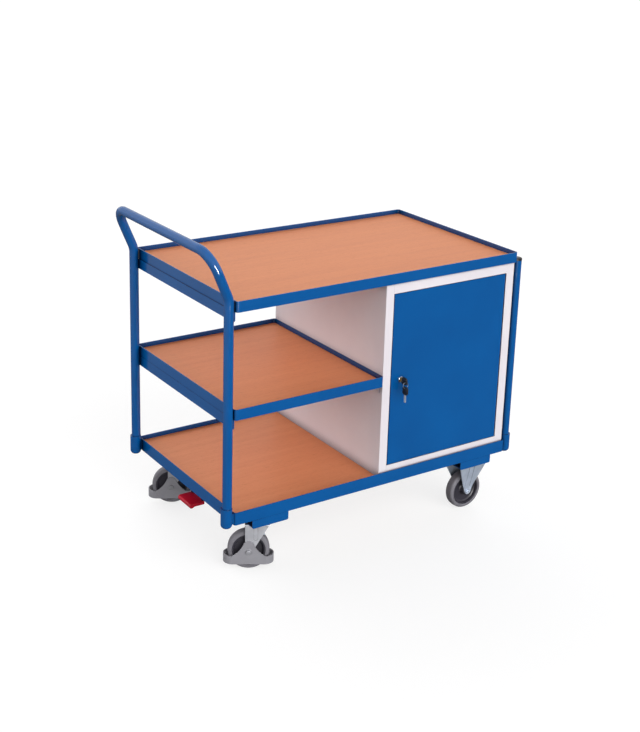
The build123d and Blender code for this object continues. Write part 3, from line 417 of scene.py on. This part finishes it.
def make_finishes():
    """One finish for each material slot of the record, and some for single metal pieces."""
    # Near-black tone of the painted shade in the recesses of metal pieces.
    recess_shade = colour(30, 30, 34)
    return {
        "blue_paint": powder_coat(
            "blue_paint_finish", colour(0, 81, 148), colour(0, 87, 156),
            edge_colour=colour(50, 120, 180), roughness=0.1, mirror=0.48,
        ),
        "grey_paint": powder_coat(
            "grey_paint_finish", colour(223, 217, 223), colour(229, 224, 229),
            edge_colour=white, roughness=0.34, mirror=0.08,
        ),
        "black_paint": powder_coat(
            "black_paint_finish", colour(16, 16, 18), colour(24, 24, 27),
            edge_colour=colour(60, 60, 64), roughness=0.3, mirror=0.2,
        ),
        "board": beech_decor(),
        "zinc": plated_metal(
            "zinc_finish", colour(190, 201, 218), colour(206, 217, 234),
            roughness=0.42, metallic=0.5, recess_shade=recess_shade,
        ),
        "fork_zinc": plated_metal(
            "fork_finish", colour(186, 187, 193), colour(203, 204, 210),
            roughness=0.4, metallic=0.6, recess_shade=recess_shade,
        ),
        "bolt_zinc": plated_metal(
            "bolt_finish", colour(158, 158, 164), colour(174, 174, 180),
            roughness=0.4, metallic=0.6, recess_shade=recess_shade,
        ),
        "ring_steel": plated_metal(
            "ring_finish", colour(92, 100, 114), colour(112, 120, 134),
            roughness=0.4, metallic=0.8,
        ),
        "blade_nickel": plated_metal(
            "blade_finish", colour(190, 193, 198), colour(206, 209, 214),
            roughness=0.35, metallic=0.25,
        ),
        "lock_metal": plated_metal(
            "lock_metal_finish", colour(214, 214, 214), colour(232, 232, 232),
            roughness=0.16, metallic=1.0,
        ),
        "brass": plated_metal(
            "brass_finish", colour(188, 150, 88), colour(206, 170, 108),
            roughness=0.25, metallic=1.0,
        ),
        "black_plastic": moulded_plastic(
            "black_plastic_finish", colour(16, 16, 18), colour(30, 30, 33),
            roughness=0.35, grain_depth=0.04 * mm,
        ),
        "guard_plastic": moulded_plastic(
            "guard_plastic_finish", colour(140, 139, 145), colour(152, 151, 157),
            roughness=0.45, grain_depth=0.06 * mm, mirror=0.22,
        ),
        "rim_plastic": moulded_plastic(
            "rim_plastic_finish", colour(42, 40, 49), colour(56, 53, 64),
            roughness=0.42, grain_depth=0.05 * mm, mirror=0.45,
        ),
        "tyre": tyre_rubber(),
        "pedal_red": moulded_plastic(
            "pedal_red_finish", colour(180, 10, 38), colour(200, 15, 49),
            roughness=0.3, grain_depth=0.04 * mm,
        ),
    }


own_finishes = {
    "front_swivel_fork": "fork_zinc",
    "rear_swivel_fork": "fork_zinc",
    "front_swivel_axle": "bolt_zinc",
    "rear_swivel_axle": "bolt_zinc",
    "key_ring": "ring_steel",
    "spare_key": "blade_nickel",
}


def finish_of(node):
    """The finish of a node's slot, or its own one."""
    return finishes[own_finishes.get(node, slots[node])]


def paint_cad_nodes():
    """Every CAD node gets its finish."""
    for name, node in cad_nodes.items():
        slots[name] = node.material_slots[0].material.name
        node.material_slots[0].material = finish_of(name)


# Modelling helpers


def select_only(*pieces):
    bpy.ops.object.select_all(action="DESELECT")
    for piece in pieces:
        piece.select_set(True)
    bpy.context.view_layer.objects.active = pieces[0]


def open_mesh(piece):
    select_only(piece)
    bpy.ops.object.mode_set(mode="EDIT")
    bpy.ops.mesh.select_all(action="SELECT")


def close_mesh():
    bpy.ops.object.mode_set(mode="OBJECT")


def round_edges(piece, width, steps=2, sharper_than=30):
    """Round the sharp edges and keep the flat faces flat."""
    select_only(piece)
    rounding = piece.modifiers.new("rounding", "BEVEL")
    rounding.limit_method = "ANGLE"
    rounding.angle_limit = math.radians(sharper_than)
    rounding.width = width
    rounding.segments = steps
    bpy.ops.object.modifier_apply(modifier="rounding")
    bpy.ops.object.shade_smooth_by_angle(angle=smooth_within)
    flats = piece.modifiers.new("flats", "WEIGHTED_NORMAL")
    flats.keep_sharp = True
    bpy.ops.object.modifier_apply(modifier="flats")


def joined(name, *pieces):
    """Several pieces as one mesh."""
    select_only(*pieces)
    bpy.ops.object.join()
    pieces[0].name = name
    return pieces[0]


def stand_in(piece, node):
    """Let the piece take the place, body and finish of one CAD node."""
    piece.data.materials.clear()
    piece.data.materials.append(finish_of(node))
    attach(piece, body_of_node[node])
    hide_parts(node)


def rounded_copy(node, width):
    """A copy of a CAD node with rounded edges."""
    piece = bpy.data.objects.new(node + "_rounded", cad_nodes[node].data.copy())
    bpy.context.scene.collection.objects.link(piece)
    select_only(piece)
    bpy.ops.mesh.customdata_custom_splitnormals_clear()
    open_mesh(piece)
    bpy.ops.mesh.remove_doubles(threshold=cad_merge_distance)
    bpy.ops.mesh.dissolve_limited(angle_limit=flat_within)
    close_mesh()
    round_edges(piece, width)
    return piece


def drawn(name, outline):
    """A closed line through the points, left open in edit mode with all of it selected."""
    bpy.ops.object.select_all(action="DESELECT")
    bpy.ops.mesh.primitive_plane_add(size=mm)
    piece = bpy.context.active_object
    piece.name = name
    open_mesh(piece)
    bpy.ops.mesh.merge(type="CENTER")
    bpy.ops.transform.translate(value=outline[0])
    for here, there in zip(outline, outline[1:] + outline[:1]):
        step = Vector(there) - Vector(here)
        bpy.ops.mesh.extrude_region_move(TRANSFORM_OT_translate={"value": step})
    bpy.ops.mesh.select_all(action="SELECT")
    return piece


def tidy_mesh():
    bpy.ops.mesh.select_all(action="SELECT")
    bpy.ops.mesh.remove_doubles(threshold=merge_distance)
    bpy.ops.mesh.normals_make_consistent(inside=False)
    close_mesh()


def turned(name, outline, steps=96):
    """A turned shape about the Y axis, from the (radius, y) points of its closed outline."""
    piece = drawn(name, [(radius, y, 0) for radius, y in outline])
    bpy.ops.mesh.spin(steps=steps, angle=2 * math.pi, center=(0, 0, 0), axis=(0, 1, 0))
    tidy_mesh()
    return piece


def prism(name, outline, y):
    """A bar along Y between two limits, from the (x, z) points of its section."""
    piece = drawn(name, [(x, y[0], z) for x, z in outline])
    bpy.ops.mesh.remove_doubles(threshold=merge_distance)
    bpy.ops.mesh.edge_face_add()
    bpy.ops.mesh.extrude_region_move(TRANSFORM_OT_translate={"value": (0, y[1] - y[0], 0)})
    tidy_mesh()
    return piece


def copy_to(piece, name, place):
    """A copy of the piece with its own mesh, moved to the place."""
    copy = bpy.data.objects.new(name, piece.data.copy())
    bpy.context.scene.collection.objects.link(copy)
    copy.matrix_world = place
    select_only(copy)
    bpy.ops.object.transform_apply(location=True, rotation=True, scale=True)
    return copy


def discard(*pieces):
    for piece in pieces:
        bpy.data.objects.remove(piece, do_unlink=True)


def axle_place(joint):
    """Where a wheel's axle is, with Y along it."""
    axis = Vector(joints[joint]["axis"])
    turn = Vector((0, 1, 0)).rotation_difference(axis)
    return Matrix.Translation(joints[joint]["pos_m"]) @ turn.to_matrix().to_4x4()


# Wheels


def model_tyre():
    """Solid tyre with a slightly crowned tread, round shoulders and a bead next to the rim."""
    half = tyre_half_width
    outline = [
        (rim_radius, -half + 1.5 * mm),
        (rim_radius + 1 * mm, -half),
        (rim_radius + 2.6 * mm, -half),
        (rim_radius + 3.4 * mm, -half + 0.6 * mm),
        (rim_radius + 6 * mm, -half + 0.4 * mm),
        (tyre_radius - 3.2 * mm, -half + 2.4 * mm),
        (tyre_radius - 0.9 * mm, -half + 6 * mm),
        (tyre_radius, 0),
    ]
    mirrored = [(radius, -y) for radius, y in reversed(outline[:-1])]
    tyre = turned("tyre_pattern", outline + mirrored, steps=128)
    round_edges(tyre, 1.6 * mm, steps=3, sharper_than=12)
    return tyre


def model_rim():
    """Moulded rim: hub, dished web and an outer band."""
    web = 4 * mm
    band = 14.5 * mm
    hub = 21.5 * mm
    band_radius = 45 * mm
    hub_radius = 15 * mm
    bore = 6.3 * mm
    outline = [
        (bore, -hub),
        (hub_radius - 2 * mm, -hub),
        (hub_radius, -hub + 2 * mm),
        (hub_radius + 1 * mm, -web - 2 * mm),
        (hub_radius + 4 * mm, -web),
        (band_radius - 5 * mm, -web),
        (band_radius - 1 * mm, -web - 3 * mm),
        (band_radius, -band),
        (rim_radius, -band),
    ]
    mirrored = [(radius, -y) for radius, y in reversed(outline)]
    rim = turned("rim_pattern", outline + mirrored)
    round_edges(rim, 0.8 * mm, sharper_than=20)
    return rim


def fit_wheels():
    tyre = model_tyre()
    rim = model_rim()
    for kind in ("front_swivel", "rear_swivel", "front_fixed", "rear_fixed"):
        place = axle_place(kind + "_wheel_spin")
        stand_in(copy_to(tyre, kind + "_tyre_moulded", place), kind + "_tyre")
        stand_in(copy_to(rim, kind + "_rim_moulded", place), kind + "_rim")
    discard(tyre, rim)


# Bolts


def hexagon(y, radius):
    """A hexagonal bolt head along Y between two limits."""
    points = []
    for corner in range(6):
        angle = corner * math.pi / 3
        points.append((radius * math.cos(angle), radius * math.sin(angle)))
    return prism("hexagon", points, y)


def ring(y, inner, outer):
    """A plain washer along Y between two limits."""
    return turned("washer", [(inner, y[0]), (outer, y[0]), (outer, y[1]), (inner, y[1])], steps=48)


def model_axle(half_length):
    """Axle bolt: shaft with chamfered ends, and a washer under the hexagon at each end."""
    washer_end = half_length + washer_thickness
    hexagon_end = washer_end + hexagon_height
    end = hexagon_end + shaft_stand_out
    chamfer = 1.2 * mm
    shaft_outline = [
        (0, -end),
        (axle_radius - chamfer, -end),
        (axle_radius, -end + chamfer),
        (axle_radius, end - chamfer),
        (axle_radius - chamfer, end),
        (0, end),
    ]
    parts = [turned("shaft", shaft_outline, steps=32)]
    for side in (-1, 1):
        washer_y = sorted((side * half_length, side * washer_end))
        hexagon_y = sorted((side * washer_end, side * hexagon_end))
        parts.append(ring(washer_y, axle_radius, washer_radius))
        parts.append(hexagon(hexagon_y, hexagon_radius))
    axle = joined("axle_pattern", *parts)
    round_edges(axle, 0.4 * mm)
    return axle


def fit_axles():
    swivel_axle = model_axle(swivel_axle_half_length)
    fixed_axle = model_axle(fixed_axle_half_length)
    fixed_bolts = []
    for side in ("front", "rear"):
        swivel_place = axle_place(side + "_swivel_wheel_spin")
        stand_in(copy_to(swivel_axle, side + "_axle_bolt", swivel_place), side + "_swivel_axle")
        fixed_place = axle_place(side + "_fixed_wheel_spin")
        fixed_bolts.append(copy_to(fixed_axle, side + "_fixed_axle_bolt", fixed_place))
    stand_in(joined("fixed_axle_bolts", *fixed_bolts), "fixed_axles")
    discard(swivel_axle, fixed_axle)


# Foot pedal


def fit_pedal():
    """Pedal with a rolled front edge that hangs lower than its plate."""
    low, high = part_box("brake_pedal")
    roll = high.z - low.z
    plate = 10.5 * mm
    back = low.x + 16 * mm
    section = [
        (low.x, low.z + 3 * mm),
        (low.x + 2.5 * mm, low.z),
        (low.x + 9 * mm, low.z),
        (back, high.z - plate),
        (high.x, high.z - plate),
        (high.x, high.z),
        (low.x + roll / 2, high.z),
        (low.x + 1.5 * mm, high.z - 2 * mm),
        (low.x, high.z - 5 * mm),
    ]
    pedal = prism("foot_pedal", section, (low.y, high.y))
    round_edges(pedal, 1.3 * mm, steps=3, sharper_than=20)
    stand_in(pedal, "brake_pedal")


# Sheet-metal and plastic pieces with rounded edges

rounded_nodes = {
    "top_deck_frame": 0.8 * mm,
    "shelf_frame": 0.8 * mm,
    "bottom_deck_frame": 0.8 * mm,
    "top_deck_board": 0.5 * mm,
    "shelf_board": 0.5 * mm,
    "bottom_deck_board": 0.5 * mm,
    "top_cross_rail": 0.7 * mm,
    "shelf_cross_rail": 0.7 * mm,
    "end_bar": 0.7 * mm,
    "shelf_support": 0.7 * mm,
    "swivel_castor_channel": 0.8 * mm,
    "fixed_castor_channel": 0.8 * mm,
    "door_panel": 0.5 * mm,
    "cabinet_left_side": 0.6 * mm,
    "cabinet_right_side": 0.6 * mm,
    "cabinet_top": 0.5 * mm,
    "cabinet_floor": 0.5 * mm,
    "cabinet_back": 0.4 * mm,
    "cabinet_shelf": 0.5 * mm,
    "fixed_forks": 0.7 * mm,
    "front_swivel_fork": 0.7 * mm,
    "rear_swivel_fork": 0.7 * mm,
    "front_wheel_guard": 0.9 * mm,
    "rear_wheel_guard": 0.9 * mm,
    "pedal_arms": 0.7 * mm,
    "key_head": 0.9 * mm,
    "spare_key_head": 0.9 * mm,
}


bpy.context.scene.view_settings.view_transform = "Standard"
add_camera()
add_room_light()
add_soft_box()
add_floor()
finishes = make_finishes()
slots = {}
paint_cad_nodes()
for node, width in rounded_nodes.items():
    stand_in(rounded_copy(node, width), node)
fit_wheels()
fit_axles()
fit_pedal()
